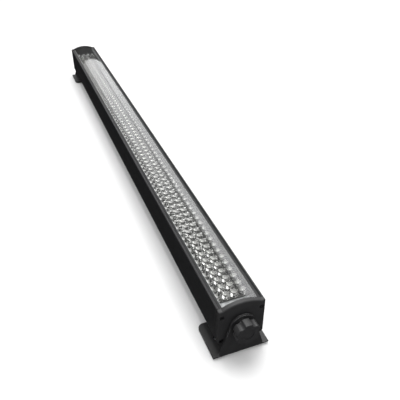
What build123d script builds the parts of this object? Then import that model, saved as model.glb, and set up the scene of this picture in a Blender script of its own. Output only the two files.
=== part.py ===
"""LED light tube: a one-metre bar of 288 clear 10 mm LEDs under an arched clear cover.

Frame: millimetres, +Z up, +X along the bar, origin on the floor under the middle of the bar.
The bar stands lens up on two tilting feet. "left" is the -X end and "right" the +X end.
The control panel is on the +Y side, near the left end. Every piece is a solid of its own.
"""
from build123d import *
import os
from math import cos, radians, sin

# ---- driving dimensions -------------------------------------------------------------
body_length = 1070.0        # over the end caps
body_width = 65.0
body_bottom = 22.0          # underside of the bar above the floor
rim_top = 81.0              # top of the bead along each long side
crown_top = 86.0            # top of the clear cover
wall = 2.0
floor_thickness = 2.5
corner_radius = 4.0         # long lower edges of the bar

cap_thickness = 6.0
gasket_thickness = 1.0
pivot_z = 51.0              # tilt axis, along X

lens_half = 24.5            # half of the cover's visible width
cover_edge_z = 80.0
cover_thickness = 2.0

led_diameter = 10.0
led_height = 13.0
led_columns = 4
led_rows = 72
led_pitch_across = 12.0
led_pitch_along = 14.0
board_count = 4
board_thickness = 1.6
board_half_width = 27.5
carrier_bottom = 60.0
carrier_thickness = 2.0

plate_thickness = 3.0       # foot bracket steel
pad_thickness = 2.0
foot_length = 60.0          # along X, under the bar
foot_width = 80.0
arm_half_width = 18.0
bolt_spacing = 50.0
bolt_hole_radius = 3.25
clamp_hole_radius = 5.25    # for an M10 bolt
washer_thickness = 2.0
stud_radius = 3.9           # M8
stud_clearance = 0.1
running_gap = 0.3           # between faces that move past each other

panel_x = -415.0
panel_z = 46.0
panel_length = 200.0
panel_height = 40.0
panel_thickness = 1.5
button_travel = 0.8

# ---- worked out from them -----------------------------------------------------------
housing_length = body_length - 2 * (cap_thickness + gasket_thickness)
housing_end = housing_length / 2
cap_inner = housing_end + gasket_thickness
cap_outer = body_length / 2
half_width = body_width / 2
inner_half = half_width - wall
floor_top = body_bottom + floor_thickness
board_bottom = carrier_bottom + carrier_thickness
board_top = board_bottom + board_thickness
board_length = led_rows * led_pitch_along / board_count
panel_face = half_width + panel_thickness
arm_inner = cap_outer + washer_thickness
arm_outer = arm_inner + plate_thickness
foot_top = pad_thickness + plate_thickness
foot_x = arm_outer - foot_length / 2

parts = {}


def keep(name, shape):
    """File a finished piece, or a group of equal pieces, under its node name."""
    solids = list(shape.solids()) if not isinstance(shape, (list, tuple)) else list(shape)
    parts[name] = solids[0] if len(solids) == 1 else Compound(children=solids)


def along_x(sketch, start, length):
    """Carry a YZ section along +X from start."""
    return extrude(Plane.YZ.offset(start) * sketch, length)


def span(y_low, y_high, z_low, z_high):
    """A rectangle of the YZ section given by its edges."""
    return Pos((y_low + y_high) / 2, (z_low + z_high) / 2) * Rectangle(y_high - y_low, z_high - z_low)


def both_sides(sketch):
    """A YZ section and its mirror image across the bar."""
    return sketch + mirror(sketch, Plane.YZ)


def on_panel(u=0.0, v=0.0, y=panel_face):
    """A plane on the +Y side: u to the right and v up as seen from outside, facing +Y."""
    return Plane(origin=(panel_x - u, y, panel_z + v), x_dir=(-1, 0, 0), z_dir=(0, 1, 0))


def at_end(side, shape):
    """A piece drawn at the right end, or mirrored to the left end."""
    return shape if side == "right" else mirror(shape, Plane.YZ)


def screw(head_radius, head_height, shank_radius, shank_length):
    """Pan-head screw along +Z, head above z = 0, with a cross recess."""
    head = Pos(0, 0, head_height / 2) * Cylinder(head_radius, head_height)
    head = fillet(head.edges().group_by(Axis.Z)[-1], head_height * 0.45)
    recess_size = head_radius * 1.15
    recess_place = Pos(0, 0, head_height)
    head -= recess_place * Box(recess_size, recess_size * 0.25, head_height)
    head -= recess_place * Box(recess_size * 0.25, recess_size, head_height)
    return head + Pos(0, 0, -shank_length / 2) * Cylinder(shank_radius, shank_length)


# ---- housing ------------------------------------------------------------------------
tongue_half = 26.6          # the cover's tongues reach this far out
tongue_bottom = 76.8
tongue_top = 78.6
seal_thickness = 0.8
port_radius = 3.1           # screw ports inside the extrusion
port_hole = 1.65
port_places = [(inner_half - 2.9, floor_top + 2.9), (inner_half - 2.9, 70.0)]
opening_length = 184.0      # window in the wall behind the control panel
opening_height = 24.5
opening_shift = -6.0
bead_width = 3.5
bead_height = 6.0
bead_radius = 1.6
bottom_groove_pitch = 10.0
bottom_groove_width = 4.0


def housing_section():
    """Open-topped channel with cover grooves, carrier slots, screw ports and bottom grooves."""
    shell = span(-half_width, half_width, body_bottom, rim_top - 1.5)
    shell = fillet(shell.vertices().group_by(Axis.Y)[0], corner_radius)
    shell -= span(-inner_half, inner_half, floor_top, rim_top)
    bead = RectangleRounded(bead_width, bead_height, bead_radius)
    bead = Pos(half_width - bead_width / 2, rim_top - bead_height / 2) * bead
    flange = span(lens_half + 0.2, inner_half, tongue_bottom - seal_thickness - 1.4, cover_edge_z)
    flange -= span(lens_half, tongue_half + 0.3, tongue_bottom - seal_thickness, tongue_top + 0.2)
    flange -= span(tongue_half + 0.6, half_width - bead_width, cover_edge_z - 1.0, cover_edge_z)
    slot = span(inner_half - 2.2, inner_half, carrier_bottom - 1.8, carrier_bottom)
    slot += span(inner_half - 1.8, inner_half, board_bottom + 0.1, board_bottom + 1.6)
    ports = Sketch() + [Pos(y, z) * Circle(port_radius) for y, z in port_places]
    section = shell + both_sides(bead + flange + slot + ports)
    section -= both_sides(Sketch() + [Pos(y, z) * Circle(port_hole) for y, z in port_places])
    for groove in range(-2, 3):
        place = Pos(groove * bottom_groove_pitch, body_bottom)
        section -= place * RectangleRounded(bottom_groove_width, 2.2, 0.8)
    return section


def make_housing():
    """The extrusion, with its panel window and the holes for panel screws and eye rivets."""
    housing = along_x(housing_section(), -housing_end, housing_length)
    window = on_panel(opening_shift, 0, inner_half - 1) * Rectangle(opening_length, opening_height)
    housing -= extrude(window, wall + 2)
    for u, v in panel_screw_places:
        housing -= extrude(on_panel(u, v, inner_half - 1) * Circle(panel_thread_radius), wall + 2)
    for y in (-rivet_half_spacing, rivet_half_spacing):
        housing -= Pos(0, y, body_bottom) * Cylinder(rivet_radius + 0.1, 4 * floor_thickness)
    return housing


panel_screw_places = [(u, v) for u in (-95.5, -41.5, 95.5) for v in (-16.5, 16.5)]
panel_thread_radius = 1.5
panel_screw_hole = 1.6
rivet_half_spacing = 15.0
rivet_radius = 2.0
keep("housing", make_housing())


# ---- clear cover and its seals ------------------------------------------------------
def cover_section():
    """A shallow arch whose feet turn outwards into the tongues."""
    outer_foot = lens_half - 0.1
    inner_foot = lens_half - 1.9
    inner_edge_z = cover_edge_z - 1.1
    outline = Line((-tongue_half, tongue_bottom), (-tongue_half, tongue_top))
    outline += Line((-tongue_half, tongue_top), (-outer_foot, tongue_top))
    outline += Line((-outer_foot, tongue_top), (-outer_foot, cover_edge_z))
    outline += ThreePointArc((-outer_foot, cover_edge_z), (0, crown_top), (outer_foot, cover_edge_z))
    outline += Line((outer_foot, cover_edge_z), (outer_foot, tongue_top))
    outline += Line((outer_foot, tongue_top), (tongue_half, tongue_top))
    outline += Line((tongue_half, tongue_top), (tongue_half, tongue_bottom))
    outline += Line((tongue_half, tongue_bottom), (inner_foot, tongue_bottom))
    outline += Line((inner_foot, tongue_bottom), (inner_foot, inner_edge_z))
    outline += ThreePointArc((inner_foot, inner_edge_z), (0, crown_top - cover_thickness),
                             (-inner_foot, inner_edge_z))
    outline += Line((-inner_foot, inner_edge_z), (-inner_foot, tongue_bottom))
    outline += Line((-inner_foot, tongue_bottom), (-tongue_half, tongue_bottom))
    return make_face(outline)


seal_section = both_sides(span(tongue_half - 1.8, tongue_half, tongue_bottom - seal_thickness, tongue_bottom))
keep("clear_cover", along_x(cover_section(), -housing_end, housing_length))
keep("cover_seals", along_x(seal_section, -housing_end, housing_length))


# ---- LED boards ---------------------------------------------------------------------
def led():
    """Clear 10 mm LED standing on z = 0: a collar, a barrel and a round top."""
    radius = led_diameter / 2
    half_outline = Polyline((0, 0), (radius + 0.5, 0), (radius + 0.5, 1.0), (radius, 1.0),
                            (radius, led_height - radius))
    half_outline += CenterArc((0, led_height - radius), radius, 0, 90)
    half_outline += Line((0, led_height), (0, 0))
    return revolve(Plane.XZ * make_face(half_outline), Axis.Z)


board_screw_y = 25.8
board_screw_hole = 1.3
board_screw_steps = (-8, -3, 3, 8)      # in LED rows from the middle of a board
carrier = along_x(span(1 - inner_half, inner_half - 1, carrier_bottom, board_bottom),
                  -housing_end, housing_length)
board_screws = []
one_led = led()
one_board_screw = screw(2.2, 1.6, 1.2, 3.0)
rows_per_board = led_rows // board_count
for number in range(1, board_count + 1):
    board_x = (number - (board_count + 1) / 2) * board_length
    board = Pos(board_x, 0, (board_bottom + board_top) / 2)
    board *= Box(board_length - 0.4, 2 * board_half_width, board_thickness)
    for step in board_screw_steps:
        for y in (-board_screw_y, board_screw_y):
            place = Pos(board_x + step * led_pitch_along, y, board_top)
            board_screws.append(place * one_board_screw)
            drill = place * Cylinder(board_screw_hole, 4 * board_thickness + 2)
            board -= drill
            carrier -= drill
    keep(f"led_board_{number}", board)
    keep(f"led_emitters_{number}", [
        Pos(board_x + (row - (rows_per_board - 1) / 2) * led_pitch_along,
            (column - (led_columns - 1) / 2) * led_pitch_across, board_top) * one_led
        for row in range(rows_per_board) for column in range(led_columns)])
keep("board_carrier", carrier)
keep("board_screws", board_screws)

# ---- end caps, gaskets and pivots ---------------------------------------------------
cap_arch_top = crown_top + 1.5
cap_boss_radius = 8.0
cap_boss_length = 13.0
insert_radius = 5.5
cap_screw = screw(3.2, 2.2, 1.6, 16.0)
cap_screw_seat = 2.4
cap_screw_hole = 2.0
cap_seat_radius = 3.5
friction_washer_radius = 15.0


def cap_outline():
    """The end view of the bar: a rounded rectangle under a shallow arch."""
    block = span(-half_width, half_width, body_bottom, rim_top)
    block = fillet(block.vertices().group_by(Axis.Y)[0], corner_radius)
    arch_half = lens_half + 2.5
    arch = ThreePointArc((-arch_half, rim_top), (0, cap_arch_top), (arch_half, rim_top))
    arch += Line((arch_half, rim_top), (-arch_half, rim_top))
    return fillet(block.vertices().group_by(Axis.Y)[-1], bead_radius) + make_face(arch)


def make_cap():
    """Moulded end plate with screw seats, a raised pivot pad inside and a chamfered face."""
    cap = along_x(cap_outline(), cap_inner, cap_thickness)
    cap = chamfer(cap.faces().sort_by(Axis.X)[-1].edges(), 1.0)
    cap += along_x(Pos(0, pivot_z) * Circle(cap_boss_radius), cap_inner - cap_boss_length, cap_boss_length)
    cap -= along_x(Pos(0, pivot_z) * Circle(insert_radius), cap_inner - cap_boss_length, cap_boss_length)
    cap -= along_x(Pos(0, pivot_z) * Circle(stud_radius + 0.4), cap_inner, cap_thickness)
    for y, z in port_places:
        for side in (-1, 1):
            place = Pos(side * y, z)
            cap -= along_x(place * Circle(cap_screw_hole), cap_inner, cap_thickness)
            cap -= along_x(place * Circle(cap_seat_radius), cap_outer - cap_screw_seat, cap_screw_seat)
    return cap


def make_gasket():
    """A flat frame that follows the end of the extrusion."""
    frame = offset(cap_outline(), -0.6) - span(-22, 22, floor_top + 7, cover_edge_z - 14)
    frame -= both_sides(Sketch() + [Pos(y, z) * Circle(cap_screw_hole) for y, z in port_places])
    return along_x(frame, housing_end, gasket_thickness)


def make_cap_screws():
    """Four screws that pull one cap against its gasket."""
    screws = []
    for y, z in port_places:
        for side in (-1, 1):
            place = Plane(origin=(cap_outer - cap_screw_seat, side * y, z), x_dir=(0, 1, 0), z_dir=(1, 0, 0))
            screws.append(place * cap_screw)
    return screws


def make_insert():
    """Brass threaded insert in the cap's boss."""
    section = Circle(insert_radius) - Circle(stud_radius + stud_clearance)
    return along_x(Pos(0, pivot_z) * section, cap_inner - cap_boss_length, cap_boss_length)


def make_friction_washer():
    """Ring between the cap and the foot's arm that holds the tilt."""
    section = Circle(friction_washer_radius) - Circle(stud_radius + 0.4)
    return along_x(Pos(0, pivot_z) * section, cap_outer, washer_thickness)


# ---- tilting feet -------------------------------------------------------------------
arm_base_half = 32.0
foot_corner_radius = 8.0
bend_radius = 1.4
pad_width = 8.0
pad_y = 34.5


def make_bracket():
    """Bent steel foot: an arm beside the end cap and a plate that turns in under the bar."""
    arm = Pos(arm_outer - plate_thickness / 2, 0, (foot_top + pivot_z + arm_half_width) / 2)
    blank = arm * Box(plate_thickness, foot_width, pivot_z + arm_half_width - foot_top)
    foot = Pos(foot_x, 0, foot_top - plate_thickness / 2) * Box(foot_length, foot_width, plate_thickness)
    foot = fillet(foot.edges().filter_by(Axis.Z).group_by(Axis.X)[0], foot_corner_radius)
    bend = (blank + foot).edges().filter_by(Axis.Y)
    outer_edge = bend.sort_by(lambda e: (e.center() - Vector(arm_outer, 0, pad_thickness)).length)[0]
    inner_edge = bend.sort_by(lambda e: (e.center() - Vector(arm_inner, 0, foot_top)).length)[0]
    plate = fillet([outer_edge, inner_edge], bend_radius)
    arm_shape = Pos(0, pivot_z) * Circle(arm_half_width)
    arm_shape += make_face(Polyline((-arm_base_half, foot_top), (arm_base_half, foot_top),
                                    (arm_half_width, pivot_z), (-arm_half_width, pivot_z), close=True))
    arm_shape += span(-foot_width / 2, foot_width / 2, 0, foot_top)
    plate &= along_x(arm_shape, 0, body_length)
    plate -= along_x(Pos(0, pivot_z) * Circle(stud_radius + 0.3), cap_outer, 20)
    for y, radius in ((-bolt_spacing / 2, bolt_hole_radius), (0, clamp_hole_radius),
                      (bolt_spacing / 2, bolt_hole_radius)):
        plate -= Pos(foot_x, y, foot_top) * Cylinder(radius, 4 * plate_thickness)
    return plate


def make_pads():
    """Two rubber strips under the foot plate."""
    pad = Box(foot_length - 20, pad_width, pad_thickness)
    pad = fillet(pad.edges().filter_by(Axis.Z), 2.5)
    return [Pos(foot_x + 2, y, pad_thickness / 2) * pad for y in (-pad_y, pad_y)]


# ---- thumb knobs --------------------------------------------------------------------
knob_radius = 17.0
knob_lobes = 6
finger_radius = 5.0         # hollows between the lobes
finger_circle = 19.5
knob_hub_radius = 9.0
dimple_radius = 8.0
stud_depth = 9.0            # how far the stud reaches into the knob
clamp_washer_radius = 10.5
clamp_washer_thickness = 1.5
clamp_washer_start = arm_outer + running_gap
knob_start = clamp_washer_start + clamp_washer_thickness
knob_hub_length = 2.5
knob_head_length = 12.0


def make_knob():
    """Lobed plastic knob with a hub against the washer and a dimple in its face."""
    outline = Circle(knob_radius)
    for lobe in range(knob_lobes):
        turn = radians(360.0 * lobe / knob_lobes)
        outline -= Pos(finger_circle * cos(turn), finger_circle * sin(turn)) * Circle(finger_radius)
    outline = fillet(outline.vertices(), 1.5)
    head = along_x(Pos(0, pivot_z) * outline, knob_start + knob_hub_length, knob_head_length)
    head = fillet(head.faces().sort_by(Axis.X)[-1].edges(), 1.2)
    head += along_x(Pos(0, pivot_z) * Circle(knob_hub_radius), knob_start, knob_hub_length)
    dimple_start = knob_start + knob_hub_length + knob_head_length - 1.0
    head -= along_x(Pos(0, pivot_z) * Circle(dimple_radius), dimple_start, 2.0)
    return head - along_x(Pos(0, pivot_z) * Circle(stud_radius), knob_start, stud_depth)


def make_stud():
    """Steel stud from the knob through the washer and arm into the insert."""
    start = cap_inner - cap_boss_length + 2
    stud = along_x(Pos(0, pivot_z) * Circle(stud_radius), start, knob_start + stud_depth - start)
    return chamfer(stud.faces().sort_by(Axis.X)[0].edges(), 0.8)


def make_clamp_washer():
    """Steel washer between the knob and the arm."""
    section = Circle(clamp_washer_radius) - Circle(stud_radius)
    return along_x(Pos(0, pivot_z) * section, clamp_washer_start, clamp_washer_thickness)


end_pieces = {
    "end_cap": make_cap(),
    "end_gasket": make_gasket(),
    "pivot_insert": make_insert(),
    "friction_washer": make_friction_washer(),
    "foot_bracket": make_bracket(),
    "foot_pads": make_pads(),
    "knob": make_knob(),
    "knob_stud": make_stud(),
    "clamp_washer": make_clamp_washer(),
}
cap_screws = make_cap_screws()
for side in ("left", "right"):
    for name, piece in end_pieces.items():
        if isinstance(piece, list):
            keep(f"{name}_{side}", [at_end(side, one) for one in piece])
        else:
            keep(f"{name}_{side}", at_end(side, piece))
keep("end_cap_screws", [at_end(side, one) for side in ("left", "right") for one in cap_screws])

# ---- control panel ------------------------------------------------------------------
inlet_u = 70.0
fuse_u = 34.0
dmx_in_u = 8.0
dmx_out_u = -24.0
display_u = -68.0
display_v = 6.0
button_v = -7.5
button_us = [display_u + 9.0 * step for step in (-1.5, -0.5, 0.5, 1.5)]
button_radius = 2.6
window_width = 28.0
window_height = 11.0
xlr_body_radius = 11.7
xlr_screw_u = 9.5
xlr_screw_v = 12.0
xlr_body_length = 18.0
inlet_screw_u = 20.0
inlet_body_length = 18.0


def panel_solid(sketch, u, v, y, depth):
    """A panel feature: a sketch at (u, v) carried from y along +Y by depth."""
    return extrude(on_panel(u, v, y) * sketch, depth)


def make_panel():
    """Flat panel plate with cut-outs for everything that it carries."""
    plate = panel_solid(RectangleRounded(panel_length, panel_height, 3.0), 0, 0, half_width, panel_thickness)
    holes = [(Rectangle(27.6, 20.6), inlet_u, 0), (Circle(6.2), fuse_u, 0),
             (Circle(xlr_body_radius + 0.2), dmx_in_u, 0), (Circle(xlr_body_radius + 0.2), dmx_out_u, 0),
             (Rectangle(window_width, window_height), display_u, display_v)]
    holes += [(Circle(button_radius + 0.2), u, button_v) for u in button_us]
    holes += [(Circle(panel_screw_hole), u, v) for u, v in panel_screw_places + connector_screw_places]
    for sketch, u, v in holes:
        plate -= panel_solid(sketch, u, v, half_width - 1, panel_thickness + 2)
    return plate


connector_screw_places = [(dmx_in_u - xlr_screw_u, xlr_screw_v), (dmx_in_u + xlr_screw_u, -xlr_screw_v),
                          (dmx_out_u - xlr_screw_u, xlr_screw_v), (dmx_out_u + xlr_screw_u, -xlr_screw_v),
                          (inlet_u - inlet_screw_u, 0), (inlet_u + inlet_screw_u, 0)]
xlr_flange_thickness = 2.0
inlet_flange_thickness = 2.5
panel_plate = make_panel()
keep("panel_plate", panel_plate)
panel_screw = screw(2.75, 1.8, 1.45, 3.4)
keep("panel_screws", [on_panel(u, v) * panel_screw for u, v in panel_screw_places])


def screw_on_flange(u, v):
    """A connector screw, seated on its connector's flange."""
    on_inlet = abs(u - inlet_u) < inlet_screw_u + 1
    flange = inlet_flange_thickness if on_inlet else xlr_flange_thickness
    return on_panel(u, v, panel_face + flange) * panel_screw


keep("connector_screws", [screw_on_flange(u, v) for u, v in connector_screw_places])


def xlr_blank(u):
    """The square flange and round rear barrel that both signal connectors share."""
    blank = panel_solid(RectangleRounded(26, 31, 2.0), u, 0, panel_face, xlr_flange_thickness)
    blank = chamfer(blank.faces().sort_by(Axis.Y)[-1].edges(), 0.5)
    blank += panel_solid(Circle(xlr_body_radius), u, 0, panel_face - xlr_body_length, xlr_body_length)
    for side in (-1, 1):
        hole_u = u - side * xlr_screw_u
        hole = panel_solid(Circle(panel_screw_hole), hole_u, side * xlr_screw_v, panel_face - 1, 5)
        blank -= hole
    return blank


def polar_spots(radius, turns):
    """Points on a circle at the given turns, in degrees."""
    return [(radius * cos(radians(turn)), radius * sin(radians(turn))) for turn in turns]


xlr_spots = polar_spots(4.75, (25, 155, 270))
xlr_depth = 15.0
xlr_front = panel_face + xlr_flange_thickness
dmx_in = xlr_blank(dmx_in_u) - panel_solid(Circle(8.1), dmx_in_u, 0, xlr_front - xlr_depth, xlr_depth + 1)
keep("dmx_in_shell", dmx_in)
keep("dmx_in_pins", [
    panel_solid(Circle(1.2), dmx_in_u + u, v, xlr_front - xlr_depth, xlr_depth - 2) for u, v in xlr_spots])

groove = Circle(9.7) - Circle(7.7)
latch_v = 12.6
dmx_out = xlr_blank(dmx_out_u) - panel_solid(groove, dmx_out_u, 0, xlr_front - xlr_depth, xlr_depth + 1)
for spot_u, spot_v in xlr_spots:
    dmx_out -= panel_solid(Circle(1.5), dmx_out_u + spot_u, spot_v, xlr_front - xlr_depth, xlr_depth + 1)
dmx_out -= panel_solid(Rectangle(7.6, 3.2), dmx_out_u, latch_v, panel_face - 1, xlr_flange_thickness + 2)
keep("dmx_out_shell", dmx_out)
latch = panel_solid(RectangleRounded(7.0, 2.6, 0.6), dmx_out_u, latch_v, panel_face + 0.1 + 1.0, 3.4)
keep("dmx_out_latch", fillet(latch.faces().sort_by(Axis.Y)[-1].edges(), 0.5))

# power inlet with its three blades
inlet_front = panel_face + inlet_flange_thickness
inlet_depth = 16.0
inlet_mouth = chamfer(Rectangle(24.0, 16.6).vertices().group_by(Axis.Y)[-1], 4.0)
inlet = panel_solid(RectangleRounded(50, 27, 4.0), inlet_u, 0, panel_face, inlet_flange_thickness)
inlet = chamfer(inlet.faces().sort_by(Axis.Y)[-1].edges(), 0.6)
inlet += panel_solid(Rectangle(27.2, 20.2), inlet_u, 0, panel_face - inlet_body_length, inlet_body_length)
inlet -= panel_solid(inlet_mouth, inlet_u, 0, inlet_front - inlet_depth, inlet_depth + 1)
for side in (-1, 1):
    inlet -= panel_solid(Circle(panel_screw_hole), inlet_u + side * inlet_screw_u, 0, panel_face - 1, 5)
keep("power_inlet", inlet)
keep("inlet_blades", [
    panel_solid(Rectangle(2.0, 4.0), inlet_u + u, v, inlet_front - inlet_depth, inlet_depth - 2)
    for u, v in ((-7.0, -2.0), (0, 2.0), (7.0, -2.0))])

# fuse holder, its bayonet cap and the fuse
fuse_flange = 2.0
fuse_bore = 3.9
fuse_body_radius = 6.0
fuse_body_length = 26.0
fuse_radius = 2.6
fuse_length = 20.0
fuse_back = 25.0            # from the cap's face to the fuse's rear end
holder = panel_solid(RegularPolygon(8.0, 6), fuse_u, 0, panel_face, fuse_flange)
holder += panel_solid(Circle(fuse_body_radius), fuse_u, 0, panel_face - fuse_body_length, fuse_body_length)
holder -= panel_solid(Circle(fuse_bore), fuse_u, 0, panel_face - 24.5, 30)
keep("fuse_holder", holder)
cap_start = panel_face + fuse_flange + running_gap
fuse_cap = panel_solid(Circle(fuse_body_radius), fuse_u, 0, cap_start, 3.4)
fuse_cap = fillet(fuse_cap.faces().sort_by(Axis.Y)[-1].edges(), 0.7)
fuse_cap -= panel_solid(Rectangle(8.0, 1.4), fuse_u, 0, cap_start + 2.2, 2.0)
fuse_cap += panel_solid(Circle(fuse_bore - stud_clearance), fuse_u, 0, cap_start - 5.0, 5.0)
keep("fuse_cap", fuse_cap)
keep("fuse", panel_solid(Circle(fuse_radius), fuse_u, 0, cap_start - fuse_back, fuse_length))

# display, buttons and the control board behind them
control_board_y = 22.0
control_board_front = control_board_y + board_thickness
switch_height = 4.2
switch_width = 6.0
standoff_radius = 2.4
display_depth = 8.0
button_proud = 1.6
button_collar_radius = 3.5
switch_top = control_board_front + switch_height
keep("display_window", panel_solid(Rectangle(window_width, window_height), display_u, display_v,
                                   half_width, panel_thickness))
keep("display_module", panel_solid(Rectangle(window_width - 2, window_height - 1), display_u, display_v,
                                   control_board_front, display_depth))
standoff_spots = [(display_u + u, v) for u in (-25.0, 25.0) for v in (-9.0, 9.0)]
control_board = panel_solid(Rectangle(56, 23.6), display_u, 0, control_board_y, board_thickness)
keep("control_board", control_board)
keep("panel_standoffs", [
    panel_solid(Circle(standoff_radius), u, v, control_board_front, half_width - control_board_front)
    for u, v in standoff_spots])
keep("button_switches", [
    panel_solid(Rectangle(switch_width, switch_width), u, button_v, control_board_front, switch_height)
    for u in button_us])
button_inner = switch_top + button_travel + 0.2
for number, u in enumerate(button_us, start=1):
    button_length = panel_face + button_proud - button_inner
    button = panel_solid(Circle(button_radius), u, button_v, button_inner, button_length)
    button = fillet(button.faces().sort_by(Axis.Y)[-1].edges(), 0.6)
    collar_y = half_width - running_gap - 1.0
    button += panel_solid(Circle(button_collar_radius), u, button_v, collar_y, 1.0)
    keep(f"menu_button_{number}", button)

# ---- power supply inside the channel ------------------------------------------------
supply_x = -170.0
supply_length = 180.0
supply_width = 44.0
supply_z = floor_top + 5.0
supply_top = supply_z + board_thickness


def on_supply(x, y, shape, height):
    """A component standing on the supply board."""
    return Pos(supply_x + x, y, supply_top + height / 2) * shape


keep("supply_board", Pos(supply_x, 0, supply_z + board_thickness / 2)
     * Box(supply_length, supply_width, board_thickness))
keep("supply_standoffs", [
    Pos(supply_x + x, y, (floor_top + supply_z) / 2) * Cylinder(3.0, supply_z - floor_top)
    for x in (-82, 82) for y in (-17, 17)])
core = on_supply(-10, 0, Box(30, 26, 22), 22)
winding = on_supply(-10, 0, Box(18, 36, 18), 18)
keep("supply_transformer", core + winding)
capacitor_places = ((-50, 0), (38, 10), (38, -10))
keep("supply_capacitors", [on_supply(x, y, Cylinder(8.0, 20), 20) for x, y in capacitor_places])
keep("supply_heat_sink", on_supply(66, 0, Box(8, 36, 20), 20))

# ---- safety eye under the middle of the bar ------------------------------------------
eye_plate_thickness = 2.0
eye_radius = 8.0
wire_radius = 2.0
eye_plate_bottom = body_bottom - eye_plate_thickness
eye_centre_z = eye_plate_bottom - 6.0
eye_path = Line((0, -eye_radius, eye_plate_bottom), (0, -eye_radius, eye_centre_z))
eye_path += ThreePointArc((0, -eye_radius, eye_centre_z), (0, 0, eye_centre_z - eye_radius),
                          (0, eye_radius, eye_centre_z))
eye_path += Line((0, eye_radius, eye_centre_z), (0, eye_radius, eye_plate_bottom))
eye_start = Plane(origin=(0, -eye_radius, eye_plate_bottom), z_dir=(0, 0, -1))
eye_loop = sweep(eye_start * Circle(wire_radius), path=eye_path)
eye_plate = extrude(Plane.XY.offset(eye_plate_bottom) * RectangleRounded(14, 40, 3.0), eye_plate_thickness)
for y in (-rivet_half_spacing, rivet_half_spacing):
    eye_plate -= Pos(0, y, body_bottom) * Cylinder(rivet_radius + 0.1, 4 * eye_plate_thickness)
keep("safety_eye", eye_plate + eye_loop)
rivet = Pos(0, 0, -0.7) * Cylinder(3.6, 1.4) + Pos(0, 0, 2.25) * Cylinder(rivet_radius, 4.5)
rivet += Pos(0, 0, 5.2) * Cylinder(3.2, 1.4)
keep("eye_rivets", [Pos(0, y, eye_plate_bottom) * rivet for y in (-rivet_half_spacing, rivet_half_spacing)])

os.makedirs("parts", exist_ok=True)
for name, shape in parts.items():
    export_step(shape, f"parts/{name}.step")
print(len(parts), "nodes written")
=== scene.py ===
# %% [markdown]
# # A one-metre LED light tube
#
# The light is a long black aluminium channel with an arched clear cover. Under the cover stand
# 288 water-clear LEDs in four long columns. Two steel feet carry the bar at its ends and tilt
# about its long axis, and a plastic knob clamps each of them.
#
# The engineering model comes in as a fixed frame: each part is already in its place, in metres,
# with +Z up and +X along the bar. This lesson adds the looks around it. Parts with the right
# shape keep their meshes and get a finish, and parts that need a finer surface are worked out
# again with numpy and stand in for the coarse ones.

# %% Load the frame and keep its size
import bmesh
import bpy
import numpy as np
from mathutils import Matrix, Vector


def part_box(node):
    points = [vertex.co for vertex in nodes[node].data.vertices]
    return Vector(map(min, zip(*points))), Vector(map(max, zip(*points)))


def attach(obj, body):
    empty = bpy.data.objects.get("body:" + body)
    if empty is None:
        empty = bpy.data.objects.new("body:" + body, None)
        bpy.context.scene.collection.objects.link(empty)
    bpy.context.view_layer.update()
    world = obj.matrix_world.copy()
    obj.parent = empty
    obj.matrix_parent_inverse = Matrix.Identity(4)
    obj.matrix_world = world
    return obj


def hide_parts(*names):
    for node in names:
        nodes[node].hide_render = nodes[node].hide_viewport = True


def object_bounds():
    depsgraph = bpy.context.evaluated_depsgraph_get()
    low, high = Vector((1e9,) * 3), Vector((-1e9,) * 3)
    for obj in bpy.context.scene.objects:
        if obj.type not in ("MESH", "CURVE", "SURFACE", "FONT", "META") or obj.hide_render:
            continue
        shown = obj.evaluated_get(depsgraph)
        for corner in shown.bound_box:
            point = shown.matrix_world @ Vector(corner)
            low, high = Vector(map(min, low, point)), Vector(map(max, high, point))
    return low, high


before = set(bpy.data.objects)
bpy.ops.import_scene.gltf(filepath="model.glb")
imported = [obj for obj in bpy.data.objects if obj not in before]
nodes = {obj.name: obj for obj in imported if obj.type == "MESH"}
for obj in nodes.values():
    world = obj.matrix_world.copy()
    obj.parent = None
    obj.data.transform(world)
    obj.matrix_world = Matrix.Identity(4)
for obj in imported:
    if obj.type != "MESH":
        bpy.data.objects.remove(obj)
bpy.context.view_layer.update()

# %% [markdown]
# ## Measures that the pieces share
#
# Places are read from the frame's boxes, so that every new piece follows the engineering model.
# Only the sizes that a box can't tell, such as the pitch of the LEDs, are named here.

# %% Measures, in metres
cover_low, cover_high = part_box("clear_cover")
housing_low, housing_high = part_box("housing")
bar_start, bar_end = housing_low.x, housing_high.x
crown_z = cover_high.z
board_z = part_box("led_board_1")[1].z

board_count = 4
led_columns, rows_per_board = 4, 18
pitch_across, pitch_along = 0.012, 0.014
led_radius = 0.005
collar_radius = 0.0055
ring_radius, ring_width = 0.00585, 0.00012
tongue_depth = 0.0022
led_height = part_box("led_emitters_1")[1].z - board_z
print(f"cover crown at {crown_z:.4f}, LED boards at {board_z:.4f}, LEDs {led_height:.4f} tall")

# %% [markdown]
# ## Meshes from arrays
#
# Nearly every new piece is a grid of points: a profile turned about an axis, or a section carried
# along a line. One helper turns such a grid into faces with array arithmetic, another repeats a
# finished shape at many places, and a third makes the Blender object and lets it ride on a body.


# %% Grid, lathe, carry, repeat and object helpers
doubled_distance = 2e-6
smooth_angle = 35.0


def grid_faces(rows, columns, wrap_columns=False):
    """Corner numbers of the quads of a grid of points, joined round where the columns wrap."""
    row = np.arange(rows - 1)[:, None]
    column = np.arange(columns if wrap_columns else columns - 1)[None, :]
    beside = (column + 1) % columns
    corners = [row * columns + column, row * columns + beside,
               (row + 1) * columns + beside, (row + 1) * columns + column]
    return np.stack([np.broadcast_to(c, (row.size, column.size)) for c in corners], -1).reshape(-1, 4)


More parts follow.
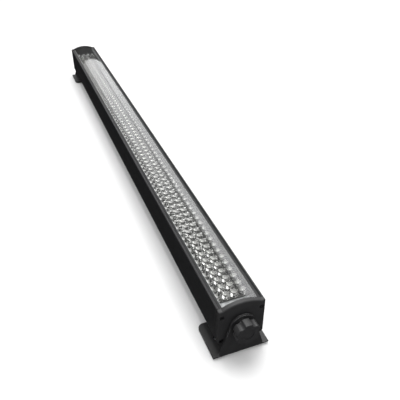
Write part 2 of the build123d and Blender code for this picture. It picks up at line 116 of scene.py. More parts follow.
def lathe(profile, segments):
    """Turn (radius, height) points about +Z: x = r cos t, y = r sin t, z = h. Radius 0 is a pole."""
    profile = np.asarray(profile, float)
    turn = np.linspace(0, 2 * np.pi, segments, endpoint=False)
    points = np.empty((len(profile), segments, 3))
    points[..., 0] = profile[:, :1] * np.cos(turn)
    points[..., 1] = profile[:, :1] * np.sin(turn)
    points[..., 2] = profile[:, 1:]
    return points.reshape(-1, 3), grid_faces(len(profile), segments, wrap_columns=True)


def carry(section, stations):
    """Carry a closed (y, z) section along x. The point (i, j) is (station i, y j, z j)."""
    section = np.asarray(section, float)
    points = np.empty((len(stations), len(section), 3))
    points[..., 0] = np.asarray(stations)[:, None]
    points[..., 1:] = section
    sides = grid_faces(len(stations), len(section), wrap_columns=True).tolist()
    first = list(range(len(section)))[::-1]
    before_last = (len(stations) - 1) * len(section)
    last = [number + before_last for number in range(len(section))]
    return points.reshape(-1, 3), sides + [first, last]


def repeated(points, faces, places):
    """The same shape at many places, as one array of points and one of faces."""
    places = np.asarray(places, float)
    many = (points[None] + places[:, None]).reshape(-1, 3)
    shift = np.arange(len(places))[:, None, None] * len(points)
    return many, (np.asarray(faces)[None] + shift).reshape(-1, np.shape(faces)[1])


def piece(name, points, faces, material, body="bar"):
    """A mesh object at the origin, its doubled points merged and faces outwards, riding on a body."""
    mesh = bpy.data.meshes.new(name)
    mesh.from_pydata(np.asarray(points).tolist(), [], [list(face) for face in faces])
    tidy = bmesh.new()
    tidy.from_mesh(mesh)
    bmesh.ops.remove_doubles(tidy, verts=tidy.verts, dist=doubled_distance)
    bmesh.ops.recalc_face_normals(tidy, faces=tidy.faces)
    tidy.to_mesh(mesh)
    tidy.free()
    mesh.shade_smooth()
    mesh.set_sharp_from_angle(angle=np.radians(smooth_angle))
    mesh.materials.append(material)
    made = bpy.data.objects.new(name, mesh)
    bpy.context.scene.collection.objects.link(made)
    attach(made, body)
    print(f"{name}: {len(mesh.vertices)} points, {len(mesh.polygons)} faces")
    return made


# %% [markdown]
# ## Shader tools
#
# Blender's materials are node trees. A small function places one node, sets its options and wires
# its inputs, which keeps each material short enough to read. Effects that several finishes share
# are node groups: worn edges, fine grain and settled dust. A group puts out only masks and
# values, and each material decides what it does with them.


# %% Node helpers
def add(tree, kind, inputs=None, **settings):
    """Place a shader node, set its options, and wire or set its inputs."""
    made = tree.nodes.new("ShaderNode" + kind)
    for key, value in settings.items():
        setattr(made, key, value)
    for key, value in (inputs or {}).items():
        if isinstance(value, bpy.types.NodeSocket):
            tree.links.new(value, made.inputs[key])
        else:
            made.inputs[key].default_value = value
    return made


def calc(tree, operation, first, second=0.0, clamp=False):
    """The output of a Math node."""
    return add(tree, "Math", {0: first, 1: second}, operation=operation, use_clamp=clamp).outputs[0]


def product(tree, first, *others):
    """Values multiplied together, from left to right."""
    for other in others:
        first = calc(tree, "MULTIPLY", first, other)
    return first


def blend_colours(tree, factor, first, second):
    """The output of a Mix node between two colours."""
    return add(tree, "Mix", {0: factor, 6: first, 7: second}, data_type="RGBA").outputs[2]


def spread(tree, value, low, high):
    """Map a 0 to 1 value onto low to high."""
    return add(tree, "MapRange", {"Value": value, "To Min": low, "To Max": high}).outputs["Result"]


def rgba(colour):
    """Three numbers as an opaque colour."""
    return (*colour, 1.0)


def new_group(name, takes, gives):
    """An empty shader group with named sockets, and its input and output nodes."""
    tree = bpy.data.node_groups.new(name, "ShaderNodeTree")
    for socket, kind, value in takes:
        made = tree.interface.new_socket(socket, in_out="INPUT", socket_type=kind)
        if value is not None:
            made.default_value = value
    for socket, kind in gives:
        tree.interface.new_socket(socket, in_out="OUTPUT", socket_type=kind)
    return tree, tree.nodes.new("NodeGroupInput").outputs, tree.nodes.new("NodeGroupOutput").inputs


# %% Group: worn edges
def build_edge_wear():
    """Mask of worn edges: where a rounded normal leaves the true one, broken up by noise."""
    takes = [("Vector", "NodeSocketVector", None), ("Width", "NodeSocketFloat", 0.0006),
             ("Breakup", "NodeSocketFloat", 180.0)]
    tree, given, result = new_group("edge_wear", takes, [("Mask", "NodeSocketFloat")])
    rounded = add(tree, "Bevel", {"Radius": given["Width"]}, samples=4).outputs[0]
    facing = add(tree, "NewGeometry").outputs["Normal"]
    match = add(tree, "VectorMath", {0: rounded, 1: facing}, operation="DOT_PRODUCT").outputs["Value"]
    edge = calc(tree, "SUBTRACT", 1.0, match)
    noise = add(tree, "TexNoise", {"Vector": given["Vector"], "Scale": given["Breakup"], "Detail": 4.0})
    places = add(tree, "TexNoise", {"Vector": given["Vector"], "Scale": 38.0, "Detail": 3.0})
    rubbed = add(tree, "MapRange", {"Value": places.outputs["Fac"], "From Min": 0.48, "From Max": 0.66})
    strength = calc(tree, "MULTIPLY", noise.outputs["Fac"], 6.0)
    worn = calc(tree, "MULTIPLY", calc(tree, "SUBTRACT", edge, 0.03), strength)
    tree.links.new(calc(tree, "MULTIPLY", worn, rubbed.outputs["Result"], clamp=True), result["Mask"])
    return tree


edge_wear = build_edge_wear()


# %% Group: fine grain
def build_fine_grain():
    """A fine noise for bump and roughness, and a broad one for slow changes of colour."""
    takes = [("Vector", "NodeSocketVector", None), ("Scale", "NodeSocketFloat", 900.0)]
    gives = [("Fine", "NodeSocketFloat"), ("Broad", "NodeSocketFloat")]
    tree, given, result = new_group("fine_grain", takes, gives)
    fine = add(tree, "TexNoise", {"Vector": given["Vector"], "Scale": given["Scale"], "Detail": 3.0})
    wide = calc(tree, "MULTIPLY", given["Scale"], 0.04)
    broad = add(tree, "TexNoise", {"Vector": given["Vector"], "Scale": wide, "Detail": 2.0})
    tree.links.new(fine.outputs["Fac"], result["Fine"])
    tree.links.new(broad.outputs["Fac"], result["Broad"])
    return tree


fine_grain = build_fine_grain()


# %% Group: settled dust
def build_dust():
    """Mask of dust: specks and soft patches on faces that look up."""
    takes = [("Vector", "NodeSocketVector", None), ("Amount", "NodeSocketFloat", 0.3)]
    tree, given, result = new_group("settled_dust", takes, [("Mask", "NodeSocketFloat")])
    facing = add(tree, "NewGeometry").outputs["Normal"]
    upward = add(tree, "SeparateXYZ", {0: facing}).outputs["Z"]
    upward = calc(tree, "POWER", calc(tree, "MAXIMUM", upward, 0.0), 2.0)
    patch = add(tree, "TexNoise", {"Vector": given["Vector"], "Scale": 22.0, "Detail": 6.0})
    specks = add(tree, "TexVoronoi", {"Vector": given["Vector"], "Scale": 420.0}).outputs["Distance"]
    specks = calc(tree, "LESS_THAN", specks, 0.16)
    cover = calc(tree, "ADD", calc(tree, "MULTIPLY", patch.outputs["Fac"], 0.5),
                 calc(tree, "MULTIPLY", specks, 0.35))
    mask = calc(tree, "MULTIPLY", calc(tree, "MULTIPLY", cover, upward), given["Amount"], clamp=True)
    tree.links.new(mask, result["Mask"])
    return tree


settled_dust = build_dust()
print("shader groups:", [group.name for group in bpy.data.node_groups])

# %% [markdown]
# ## Finishes
#
# Most surfaces of the light are a colour with grain, a little wear and a little dust: anodised
# aluminium, powder coat, moulded plastic, plated steel, rubber. One function builds them all from
# a few numbers. The clear plastics are another family. Real clear plastic mirrors more the flatter
# it is looked at, so those materials mix a see-through shader with a mirror by Fresnel's law.


# %% The function behind the opaque finishes
dust_colour, dust_roughness = (0.42, 0.41, 0.39), 0.4
grain_strength = 0.6
coat_roughness = 0.2


def surface_finish(name, dark, light, rough, grain, depth, stretch=(1, 1, 1), wear=None,
                   dust=0.0, metallic=0.0, specular=0.5, coat=0.0):
    """An opaque finish: colours and roughness span a grain, with worn edges and dust over it."""
    material = bpy.data.materials.new(name)
    material.use_nodes = True
    tree = material.node_tree
    shader = tree.nodes["Principled BSDF"]
    place = add(tree, "TexCoord").outputs["Object"]
    along = add(tree, "Mapping", {"Vector": place, "Scale": stretch}).outputs["Vector"]
    pattern = add(tree, "Group", {}, node_tree=fine_grain)
    tree.links.new(along, pattern.inputs["Vector"])
    pattern.inputs["Scale"].default_value = grain
    colour = blend_colours(tree, pattern.outputs["Broad"], rgba(dark), rgba(light))
    both = calc(tree, "ADD", pattern.outputs["Fine"], pattern.outputs["Broad"])
    mixed = calc(tree, "MULTIPLY", both, 0.5)
    roughness = spread(tree, mixed, *rough)
    if wear:
        worn = add(tree, "Group", {}, node_tree=edge_wear)
        tree.links.new(place, worn.inputs["Vector"])
        colour = blend_colours(tree, worn.outputs["Mask"], colour, rgba(wear))
    if dust:
        lying = add(tree, "Group", {}, node_tree=settled_dust)
        tree.links.new(place, lying.inputs["Vector"])
        lying.inputs["Amount"].default_value = dust
        colour = blend_colours(tree, lying.outputs["Mask"], colour, rgba(dust_colour))
        rougher = calc(tree, "MULTIPLY", lying.outputs["Mask"], dust_roughness)
        roughness = calc(tree, "ADD", roughness, rougher)
    bump = add(tree, "Bump", {"Height": pattern.outputs["Fine"], "Strength": grain_strength,
                              "Distance": depth})
    tree.links.new(colour, shader.inputs["Base Color"])
    tree.links.new(roughness, shader.inputs["Roughness"])
    tree.links.new(bump.outputs["Normal"], shader.inputs["Normal"])
    shader.inputs["Metallic"].default_value = metallic
    shader.inputs["Specular IOR Level"].default_value = specular
    shader.inputs["Coat Weight"].default_value = coat
    shader.inputs["Coat Roughness"].default_value = coat_roughness
    return material


# %% Opaque finishes of the light
bare_metal = (0.48, 0.48, 0.49)
finishes = {
    "black_anodised": surface_finish(
        "black_anodised", (0.012, 0.012, 0.013), (0.020, 0.020, 0.021), (0.30, 0.44), 2200, 0.00004,
        stretch=(0.01, 1, 1), wear=(0.10, 0.10, 0.105), dust=0.06, specular=0.38),
    "moulded_black": surface_finish(
        "moulded_black", (0.014, 0.014, 0.015), (0.024, 0.024, 0.025), (0.42, 0.56), 2600, 0.00008,
        wear=(0.05, 0.05, 0.052), dust=0.12),
    "powder_coat": surface_finish(
        "powder_coat", (0.013, 0.013, 0.014), (0.022, 0.022, 0.023), (0.36, 0.52), 1500, 0.00012,
        wear=bare_metal, dust=0.12),
    "zinc_plate": surface_finish(
        "zinc_plate", (0.50, 0.51, 0.52), (0.66, 0.66, 0.64), (0.22, 0.40), 700, 0.00002, metallic=1.0),
    "black_zinc": surface_finish(
        "black_zinc", (0.03, 0.03, 0.032), (0.06, 0.06, 0.062), (0.25, 0.40), 900, 0.00002,
        wear=bare_metal, metallic=0.9),
    "satin_nickel": surface_finish(
        "satin_nickel", (0.50, 0.48, 0.45), (0.62, 0.60, 0.56), (0.20, 0.34), 900, 0.00002,
        metallic=1.0),
    "gold_plate": surface_finish(
        "gold_plate", (0.78, 0.55, 0.22), (0.88, 0.66, 0.30), (0.16, 0.28), 900, 0.00001, metallic=1.0),
    "turned_brass": surface_finish(
        "turned_brass", (0.62, 0.44, 0.18), (0.74, 0.55, 0.26), (0.25, 0.40), 1400, 0.00003,
        metallic=1.0),
    "mill_aluminium": surface_finish(
        "mill_aluminium", (0.36, 0.37, 0.38), (0.46, 0.47, 0.48), (0.42, 0.56), 1600, 0.00003,
        stretch=(0.02, 1, 1), metallic=1.0),
    "black_rubber": surface_finish(
        "black_rubber", (0.016, 0.016, 0.016), (0.030, 0.029, 0.028), (0.65, 0.85), 1200, 0.00010,
        dust=0.2, specular=0.35),
    "black_nylon": surface_finish(
        "black_nylon", (0.018, 0.018, 0.018), (0.028, 0.028, 0.028), (0.40, 0.55), 1200, 0.00004),
    "grey_button": surface_finish(
        "grey_button", (0.055, 0.056, 0.060), (0.075, 0.076, 0.080), (0.28, 0.38), 1500, 0.00002),
    "green_board": surface_finish(
        "green_board", (0.010, 0.075, 0.028), (0.016, 0.115, 0.042), (0.25, 0.40), 500, 0.00006,
        coat=0.4),
    "black_component": surface_finish(
        "black_component", (0.018, 0.018, 0.019), (0.030, 0.030, 0.031), (0.45, 0.60), 1400, 0.00004),
    "winding_tape": surface_finish(
        "winding_tape", (0.62, 0.45, 0.05), (0.76, 0.58, 0.10), (0.28, 0.42), 500, 0.00006),
    "capacitor_sleeve": surface_finish(
        "capacitor_sleeve", (0.012, 0.016, 0.045), (0.020, 0.026, 0.070), (0.22, 0.34), 600, 0.00003),
    "cup_silver": surface_finish(
        "cup_silver", (0.86, 0.86, 0.85), (0.94, 0.94, 0.93), (0.08, 0.18), 1800, 0.00002, metallic=1.0),
    "unlit_segment": surface_finish(
        "unlit_segment", (0.58, 0.55, 0.54), (0.68, 0.65, 0.64), (0.50, 0.62), 1500, 0.00001),
}
print(len(finishes), "opaque finishes")


# %% Clear plastics and glass
clear_grain, epoxy_grain = 500.0, 2500.0
ripple_strength = 0.5
epoxy_ior = 1.53
# Width and share of the pale band along the cover's long edges, a painted highlight for the bright line
# of light that the edges give.
painted_line_width, painted_line_share = 0.0010, 0.42


def clear_finish(name, ior, tint, haze, haze_and_line_colour, rough, ripple=0.0, stretch=(1, 1, 1),
                 painted_line_edge=None):
    """A clear wall: see-through where faced, a mirror where grazed, faintly scratched, and where asked
    for, a pale diffuse band along the long edges that paints the bright line of light they give."""
    material = bpy.data.materials.new(name)
    material.use_nodes = True
    tree = material.node_tree
    tree.nodes.remove(tree.nodes["Principled BSDF"])
    place = add(tree, "TexCoord").outputs["Object"]
    along = add(tree, "Mapping", {"Vector": place, "Scale": stretch}).outputs["Vector"]
    pattern = add(tree, "Group", {}, node_tree=fine_grain)
    tree.links.new(along, pattern.inputs["Vector"])
    pattern.inputs["Scale"].default_value = clear_grain
    waves = {"Height": pattern.outputs["Broad"], "Strength": ripple_strength, "Distance": ripple}
    normal = add(tree, "Bump", waves).outputs["Normal"]
    through = add(tree, "BsdfTransparent", {"Color": rgba(tint)})
    mirror = add(tree, "BsdfGlossy", {"Color": rgba((1, 1, 1)), "Normal": normal,
                                      "Roughness": spread(tree, pattern.outputs["Fine"], *rough)})
    behind = add(tree, "NewGeometry").outputs["Backfacing"]
    share = add(tree, "Fresnel", {"IOR": spread(tree, behind, ior, 1 / ior), "Normal": normal})
    wall = add(tree, "MixShader", {0: share.outputs[0], 1: through.outputs[0], 2: mirror.outputs[0]})
    haze_and_line_shader = add(tree, "BsdfDiffuse", {"Color": rgba(haze_and_line_colour)})
    scratches_and_painted_line = calc(tree, "MULTIPLY", pattern.outputs["Fine"], 2.0 * haze, clamp=True)
    # Painted highlight: a pale diffuse band along each long edge stands in for the bright line of light
    # that the edge reflects and bends.
    if painted_line_edge:
        aside = calc(tree, "ABSOLUTE", add(tree, "SeparateXYZ", {0: place}).outputs["Y"])
        edge = add(tree, "MapRange", {"Value": aside, "From Min": painted_line_edge - painted_line_width,
                                      "From Max": painted_line_edge})
        painted_line = calc(tree, "MULTIPLY", edge.outputs["Result"], painted_line_share)
        scratches_and_painted_line = calc(tree, "MAXIMUM", scratches_and_painted_line, painted_line)
    # The diffuse layer carries both the faint scratch haze and the painted edge highlight.
    whole = add(tree, "MixShader", {0: scratches_and_painted_line, 1: wall.outputs[0], 2: haze_and_line_shader.outputs[0]})
    tree.links.new(whole.outputs[0], tree.nodes["Material Output"].inputs["Surface"])
    return material


# The cover's long edges carry the painted highlight line.
polycarbonate = clear_finish("polycarbonate", 1.58, (0.97, 0.97, 0.965), 0.010, (0.85, 0.86, 0.86),
                             (0.01, 0.035), ripple=0.000005, stretch=(0.25, 1, 1),
                             painted_line_edge=cover_high.y - tongue_depth)
fuse_glass = clear_finish("fuse_glass", 1.50, (0.95, 0.96, 0.95), 0.01, (0.8, 0.8, 0.8), (0.01, 0.03))
red_window = clear_finish("red_window", 1.49, (0.42, 0.03, 0.03), 0.02, (0.20, 0.02, 0.02), (0.04, 0.08))


def cast_epoxy():
    """Solid clear epoxy that bends light, its faint yellow-green tint changing from LED to LED."""
    material = bpy.data.materials.new("clear_epoxy")
    material.use_nodes = True
    tree = material.node_tree
    shader = tree.nodes["Principled BSDF"]
    place = add(tree, "TexCoord").outputs["Object"]
    pattern = add(tree, "Group", {}, node_tree=fine_grain)
    tree.links.new(place, pattern.inputs["Vector"])
    pattern.inputs["Scale"].default_value = epoxy_grain
    tint = blend_colours(tree, pattern.outputs["Broad"], rgba((0.985, 0.985, 0.98)),
                         rgba((0.965, 0.965, 0.935)))
    tree.links.new(tint, shader.inputs["Base Color"])
    tree.links.new(spread(tree, pattern.outputs["Fine"], 0.01, 0.05), shader.inputs["Roughness"])
    shader.inputs["Transmission Weight"].default_value = 1.0
    shader.inputs["IOR"].default_value = epoxy_ior
    return material


clear_epoxy = cast_epoxy()
print("clear finishes:", polycarbonate.name, clear_epoxy.name, fuse_glass.name, red_window.name)

# %% [markdown]
# ## The black circuit boards
#
# Each board is glass fibre under black solder mask. The copper below shows as faintly lighter,
# slightly raised tracks, and a thin printed ring goes round each LED. Both repeat with the LED
# grid, so they are worked out from the position inside one cell of that grid.


# %% Board finish
whole_cells = 64.0  # keeps the counted cells above nought
track_gap, track_pitch = 0.0006, 0.003
track_strength = 0.5


def ring_distance(tree, place):
    """Distance of a point from the nearest LED axis, on the board's face."""
    split = add(tree, "SeparateXYZ", {0: place})
    offsets = []
    for output, pitch in (("X", pitch_along), ("Y", pitch_across)):
        steps = calc(tree, "DIVIDE", split.outputs[output], pitch)
        cell = calc(tree, "FRACT", calc(tree, "ADD", steps, whole_cells))
        offsets.append(calc(tree, "MULTIPLY", calc(tree, "SUBTRACT", cell, 0.5), pitch))
    squares = [calc(tree, "MULTIPLY", offset, offset) for offset in offsets]
    return calc(tree, "SQRT", calc(tree, "ADD", *squares))


def board_finish():
    """Black solder mask over copper tracks, with a printed ring round each LED."""
    material = surface_finish("black_board", (0.020, 0.022, 0.020), (0.034, 0.036, 0.033), (0.28, 0.42),
                              700, 0.00004, coat=0.3)
    tree = material.node_tree
    shader = tree.nodes["Principled BSDF"]
    place = add(tree, "TexCoord").outputs["Object"]
    far = ring_distance(tree, place)
    ring = calc(tree, "COMPARE", far, ring_radius)
    ring.node.inputs[2].default_value = ring_width
    tracks = add(tree, "TexBrick", {"Vector": place, "Scale": 1.0, "Mortar Size": track_gap,
                                    "Brick Width": pitch_along, "Row Height": track_pitch})
    base = shader.inputs["Base Color"].links[0].from_socket
    faint = calc(tree, "MULTIPLY", tracks.outputs["Fac"], track_strength)
    tracked = blend_colours(tree, faint, base, rgba((0.075, 0.080, 0.070)))
    printed = blend_colours(tree, ring, tracked, rgba((0.50, 0.50, 0.48)))
    tree.links.new(printed, shader.inputs["Base Color"])
    return material


finishes["black_board"] = board_finish()
print("board finish:", finishes["black_board"].name)

# %% [markdown]
# ## The arched clear cover
#
# The cover is a long extrusion of polycarbonate: a shallow arch whose feet turn outwards into
# grooves of the channel. Its outer and inner faces are arcs of circles. A circle through the two
# edges and the crown has the radius (a * a + h * h) / (2 * h), where a is half the width and h the
# rise, and a fine row of points on it keeps long reflections smooth.


# %% Cover
def arc(half, edge_z, top_z, count):
    """Points from -half to half on the circle that rises from edge_z to top_z in the middle."""
    rise = top_z - edge_z
    radius = (half * half + rise * rise) / (2 * rise)
    y = np.linspace(-half, half, count)
    return np.stack([y, top_z - radius + np.sqrt(radius * radius - y * y)], -1)


cover_thickness = 0.0020
leg_thickness = 0.0018
outer_rise, inner_rise = 0.0060, 0.0051
arc_points = 49

tongue_half = cover_high.y
foot_half = tongue_half - tongue_depth
inner_half = foot_half - leg_thickness
tongue_low = cover_low.z
tongue_high = tongue_low + leg_thickness
inner_crown_z = crown_z - cover_thickness
outer_arc = arc(foot_half, crown_z - outer_rise, crown_z, arc_points)
inner_arc = arc(inner_half, inner_crown_z - inner_rise, inner_crown_z, arc_points)[::-1]
right_foot = [(foot_half, tongue_high), (tongue_half, tongue_high), (tongue_half, tongue_low),
              (inner_half, tongue_low)]
left_foot = [(-y, z) for y, z in reversed(right_foot)]
cover_section = np.concatenate([outer_arc, right_foot, inner_arc, left_foot])
cover = piece("cover_arch", *carry(cover_section, [bar_start, bar_end]), polycarbonate)
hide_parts("clear_cover")

# %% [markdown]
# ## LEDs
#
# A 10 mm LED is a bullet of clear epoxy on a round collar. Inside it a small silver cup on a post
# holds the chip, and the bullet's round end makes the cup look large. The bullet and the cup are
# lathe profiles of a few rings each, because every LED is there 288 times.

# %% LED profiles
dome_base = led_height - led_radius
dome_turns = np.radians([0, 30, 60, 90])
board_gap, collar_top = 0.00005, 0.001
bullet_profile = [(0, board_gap), (collar_radius, board_gap), (collar_radius, collar_top),
                  (led_radius, collar_top)]
bullet_profile += [(led_radius * np.cos(t), dome_base + led_radius * np.sin(t)) for t in dome_turns]
cup_profile = [(0, 0.0002), (0.0006, 0.0002), (0.0008, 0.0036), (0.0029, 0.0064), (0.0027, 0.0065),
               (0.0011, 0.0046), (0, 0.0045)]
round_sides = 12
bullet = lathe(bullet_profile, round_sides)
cup = lathe(cup_profile, round_sides)


def led_places(number):
    """The feet of a board's LEDs, from the board's own box."""
    low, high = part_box(f"led_board_{number}")
    middle = (low + high) / 2
    x = middle.x + (np.arange(rows_per_board) - (rows_per_board - 1) / 2) * pitch_along
    y = middle.y + (np.arange(led_columns) - (led_columns - 1) / 2) * pitch_across
    grid = np.stack(np.meshgrid(x, y, indexing="ij"), -1).reshape(-1, 2)
    return np.column_stack([grid, np.full(len(grid), board_z)])


# %% LED pieces
for number in range(1, board_count + 1):
    places = led_places(number)
    lenses = piece(f"led_lenses_{number}", *repeated(*bullet, places), clear_epoxy)
    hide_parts(f"led_emitters_{number}")
    cups = piece(f"led_cups_{number}", *repeated(*cup, places), finishes["cup_silver"])

# %% [markdown]
# ## Display digits
#
# Behind the red window the display shows four unlit digits of seven bars each. A bar is a flat
# six-cornered prism, the upright ones have their two axes swapped, and the digits lean a little.


# %% Digits
millimetre = 0.001
digit_step = 6.2 * millimetre
digit_count = 4
lean = 0.12
bar_back, bar_front = 0.02 * millimetre, 0.12 * millimetre


def seven_bars():
    """The bars of a digit in millimetres: middle u, middle v and whether the bar lies level."""
    level = [(0.0, v, True) for v in (-3.05, 0.0, 3.05)]
    upright = [(u, v, False) for u in (-1.75, 1.75) for v in (-1.52, 1.52)]
    return level + upright


def digit_prisms(face_y, centre):
    """A prism for each bar of four digits: x = centre - (u + lean * v + digit step), z = centre + v."""
    outline = np.array([(1.35, 0), (1.0, 0.4), (-1.0, 0.4), (-1.35, 0), (-1.0, -0.4), (1.0, -0.4)])
    corners = len(outline)
    points, faces = [], []
    for digit in range(digit_count):
        shift = (digit - (digit_count - 1) / 2) * digit_step
        for u, v, level in seven_bars():
            bar = (outline if level else outline[:, ::-1]) + (u, v)
            across = millimetre * (bar[:, 0] + lean * bar[:, 1]) + shift
            upwards = millimetre * bar[:, 1]
            lower = list(range(len(points), len(points) + corners))
            upper = [corner + corners for corner in lower]
            for y in (face_y + bar_back, face_y + bar_front):
                points += [(centre.x - a, y, centre.z + b) for a, b in zip(across, upwards)]
            faces += [lower[::-1], upper]
            for here in range(corners):
                beside = (here + 1) % corners
                faces.append([lower[here], lower[beside], upper[beside], upper[here]])
    return points, faces


module_low, module_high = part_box("display_module")
digits = piece("display_digits", *digit_prisms(module_high.y, (module_low + module_high) / 2),
               finishes["unlit_segment"])
clear_space = (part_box("display_window")[0].y - module_high.y) / millimetre
print("clear space before the window:", round(clear_space, 2), "mm")

# %% [markdown]
# ## Finishes for the parts that keep their meshes
#
# The engineering parts have a material slot each. Assigning to that slot changes the look and
# leaves the mesh alone.

# %% Assign the finishes
finish_of = {
    "black_anodised": ["housing"],
    "moulded_black": ["end_cap_left", "end_cap_right", "knob_left", "knob_right", "power_inlet",
                      "fuse_holder", "fuse_cap"],
    "powder_coat": ["foot_bracket_left", "foot_bracket_right", "panel_plate"],
    "zinc_plate": ["board_screws", "knob_stud_left", "knob_stud_right", "clamp_washer_left",
                   "clamp_washer_right", "panel_standoffs", "supply_standoffs", "eye_rivets",
                   "safety_eye"],
    "black_zinc": ["end_cap_screws", "panel_screws", "connector_screws"],
    "satin_nickel": ["dmx_in_shell", "dmx_out_shell", "dmx_out_latch", "inlet_blades"],
    "gold_plate": ["dmx_in_pins"],
    "turned_brass": ["pivot_insert_left", "pivot_insert_right"],
    "mill_aluminium": ["board_carrier", "supply_heat_sink"],
    "black_rubber": ["cover_seals", "end_gasket_left", "end_gasket_right", "foot_pads_left",
                     "foot_pads_right"],
    "black_nylon": ["friction_washer_left", "friction_washer_right"],
    "grey_button": [f"menu_button_{number}" for number in range(1, 5)],
    "green_board": ["control_board", "supply_board"],
    "black_component": ["display_module", "button_switches"],
    "winding_tape": ["supply_transformer"],
    "capacitor_sleeve": ["supply_capacitors"],
    "black_board": [f"led_board_{number}" for number in range(1, board_count + 1)],
}
for finish, names in finish_of.items():
    for name in names:
        for material_slot in nodes[name].material_slots:
            material_slot.material = finishes[finish]
clear_parts = {"display_window": red_window, "fuse": fuse_glass}
for name, material in clear_parts.items():
    for material_slot in nodes[name].material_slots:
        material_slot.material = material
print(sum(map(len, finish_of.values())) + len(clear_parts), "parts finished")

# %% [markdown]
# ## Floor and overhead light
#
# The floor is a plain pale sheet. A wide soft panel hangs almost straight above the bar.


# %% Floor
floor_half = 60.0
floor_points = 15


def pale_floor():
    """A flat sheet under the feet, which mirrors do not see."""
    line = np.linspace(-floor_half, floor_half, floor_points)
    x, y = np.meshgrid(line, line, indexing="ij")
    points = np.stack([x, y, np.full_like(x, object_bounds()[0].z)], -1).reshape(-1, 3)
    mesh = bpy.data.meshes.new("floor")
    mesh.from_pydata(points.tolist(), [], grid_faces(floor_points, floor_points)[:, ::-1].tolist())
    mesh.materials.append(surface_finish("floor_sheet", (0.88, 0.88, 0.88), (0.90, 0.90, 0.90),
                                         (0.5, 0.6), 300, 0.00005))
    floor = bpy.data.objects.new("floor", mesh)
    bpy.context.scene.collection.objects.link(floor)
    floor.visible_glossy = False
    print(f"floor {2 * floor_half:.0f} m wide")


pale_floor()


# %% Light
def overhead_panel(elevation, distance, width, height, radiance):
    """A rectangular lamp that faces the bar from this angle above level, on the +Y side.

    The camera and light that has passed through a clear part do not see it. The lamp's energy is
    radiance * pi * width * height."""
    rise = np.radians(elevation)
    middle = Vector((-0.2, 0.0, crown_z))
    way = Vector((0.0, np.cos(rise), np.sin(rise)))
    lamp = bpy.data.lights.new("top_panel", "AREA")
    lamp.shape = "RECTANGLE"
    lamp.size, lamp.size_y = width, height
    lamp.energy = radiance * np.pi * width * height
    made = bpy.data.objects.new("top_panel", lamp)
    made.location = middle + way * distance
    made.rotation_euler = (-way).to_track_quat("-Z", "Y").to_euler()
    made.visible_camera = False
    made.visible_transmission = False
    bpy.context.scene.collection.objects.link(made)
    print(f"{made.name}: {width} by {height} m, {distance} m from the bar")


overhead_panel(elevation=84.0, distance=2.0, width=1.5, height=0.9, radiance=7.0)

# %% [markdown]
# ## The surround
#
# Matt surfaces are lit by an even white. Polished and clear surfaces see a surround of their own:
# softboxes past the far end, which the arched cover mirrors along its far half, one along the
# right, a bright top and a dark floor.


# %% World
even_white, mirrored_white = (0.92, 0.92, 0.92), (0.98, 0.985, 1.0)
degrees_in_radian = 57.3
arch_middle = 88.0
arch_bend = 0.00096
dark_lines = ((50.0, 3.0, 0.45), (98.0, 3.0, 0.35), (109.0, 3.0, 0.45))  # angle, width, depth


def ramp(tree, value, start, end, low, high):
    """A smooth step: low before start, high after end."""
    return add(tree, "MapRange", {"Value": value, "From Min": start, "From Max": end, "To Min": low,
                                  "To Max": high}, interpolation_type="SMOOTHSTEP").outputs["Result"]


def far_softbox(tree, way, round_axis):
    """Brightness of the softboxes past the far end: steps in way X, the cosine of the angle from the
    bar's axis, times steps in the angle round the axis, in degrees from +Y. The end nearest the axis
    is an arch."""
    aside = calc(tree, "MULTIPLY", calc(tree, "SUBTRACT", round_axis, arch_middle), arch_bend)
    far = calc(tree, "SUBTRACT", calc(tree, "MULTIPLY", aside, aside), way["X"])
    near = product(tree, ramp(tree, way["X"], -0.70, -0.91, 0.15, 1.45),
                   ramp(tree, far, 0.9358, 0.9374, 1.0, 0.03))
    across = product(tree, ramp(tree, round_axis, 40.0, 50.0, 1.08, 1.0),
                     ramp(tree, round_axis, 94.0, 124.0, 1.0, 0.2),
                     ramp(tree, round_axis, 0.0, 6.0, 0.0, 1.0))
    for line, width, depth in dark_lines:
        apart = calc(tree, "ABSOLUTE", calc(tree, "SUBTRACT", round_axis, line))
        across = product(tree, across, ramp(tree, apart, 0.3 * width, width, 1.0 - depth, 1.0))
    return product(tree, near, across)


def side_softbox(tree, way, round_axis):
    """Brightness of the softbox along the right, which pales that side of the near half."""
    along = product(tree, ramp(tree, way["X"], -0.30, -0.52, 0.0, 1.6),
                    ramp(tree, way["X"], -0.72, -0.88, 1.0, 0.0))
    low = product(tree, ramp(tree, round_axis, 6.0, 14.0, 0.0, 1.0),
                  ramp(tree, round_axis, 36.0, 54.0, 1.0, 0.0))
    return product(tree, along, low)


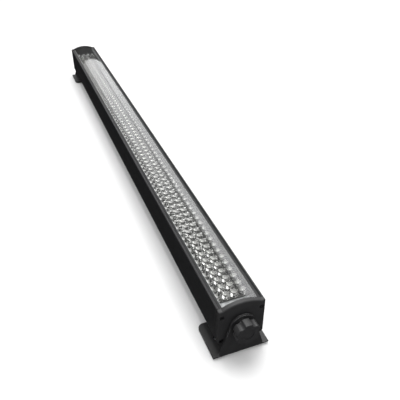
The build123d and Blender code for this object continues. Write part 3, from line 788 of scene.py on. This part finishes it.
def studio_world():
    """An even white that lights matt surfaces, and for mirrors a dark floor, softboxes and a bright top.

    Light that has passed through a clear part also sees a bright wall on the right, which gives each
    LED its second bright spot."""
    world = bpy.data.worlds.new("studio")
    world.use_nodes = True
    tree = world.node_tree
    even = tree.nodes["Background"]
    even.inputs["Color"].default_value = rgba(even_white)
    way = add(tree, "SeparateXYZ", {0: add(tree, "TexCoord").outputs["Generated"]}).outputs
    turn = calc(tree, "ARCTAN2", way["Z"], way["Y"])
    round_axis = calc(tree, "MULTIPLY", turn, degrees_in_radian)
    path = add(tree, "LightPath").outputs
    sky = calc(tree, "ADD", ramp(tree, way["Z"], -0.35, 0.10, 0.05, 0.45),
               ramp(tree, way["Z"], 0.65, 0.95, 0.0, 0.9))
    glow = product(tree, sky, ramp(tree, way["X"], -0.60, -0.40, 0.0, 1.0))
    wall = product(tree, path["Is Transmission Ray"], ramp(tree, way["Y"], 0.35, 0.55, 0.0, 1.9))
    for more in (far_softbox(tree, way, round_axis), side_softbox(tree, way, round_axis), wall):
        glow = calc(tree, "ADD", glow, more)
    mirrored = add(tree, "Background", {"Color": rgba(mirrored_white), "Strength": glow})
    polished = calc(tree, "MAXIMUM", path["Is Glossy Ray"], path["Is Transmission Ray"])
    both = add(tree, "MixShader", {0: polished, 1: even.outputs[0], 2: mirrored.outputs[0]})
    tree.links.new(both.outputs[0], tree.nodes["World Output"].inputs["Surface"])
    return world


bpy.context.scene.world = studio_world()
print("world:", bpy.context.scene.world.name)

# %% [markdown]
# ## The camera
#
# The camera stands over the near end and looks down along the bar.


# %% Camera
def look(position, forward):
    """Placing of a level camera that looks along forward."""
    back = -Vector(forward).normalized()
    right = Vector((0, 0, 1)).cross(back).normalized()
    up = back.cross(right)
    axes = Matrix((right, up, back)).transposed()
    return Matrix.Translation(position) @ axes.to_4x4()


lens = bpy.data.cameras.new("camera")
lens.lens, lens.sensor_width = 45.0, 36.0
camera = bpy.data.objects.new("camera", lens)
camera_place = (0.920, -0.2075, crown_z + 0.458)
camera.matrix_world = look(camera_place, (-0.764, 0.299, -0.571))
bpy.context.scene.collection.objects.link(camera)
bpy.context.scene.camera = camera
bpy.context.scene.view_settings.view_transform = "Standard"
bpy.context.scene.cycles.transparent_max_bounces = 24
print(f"camera with a {lens.lens:.0f} mm lens")
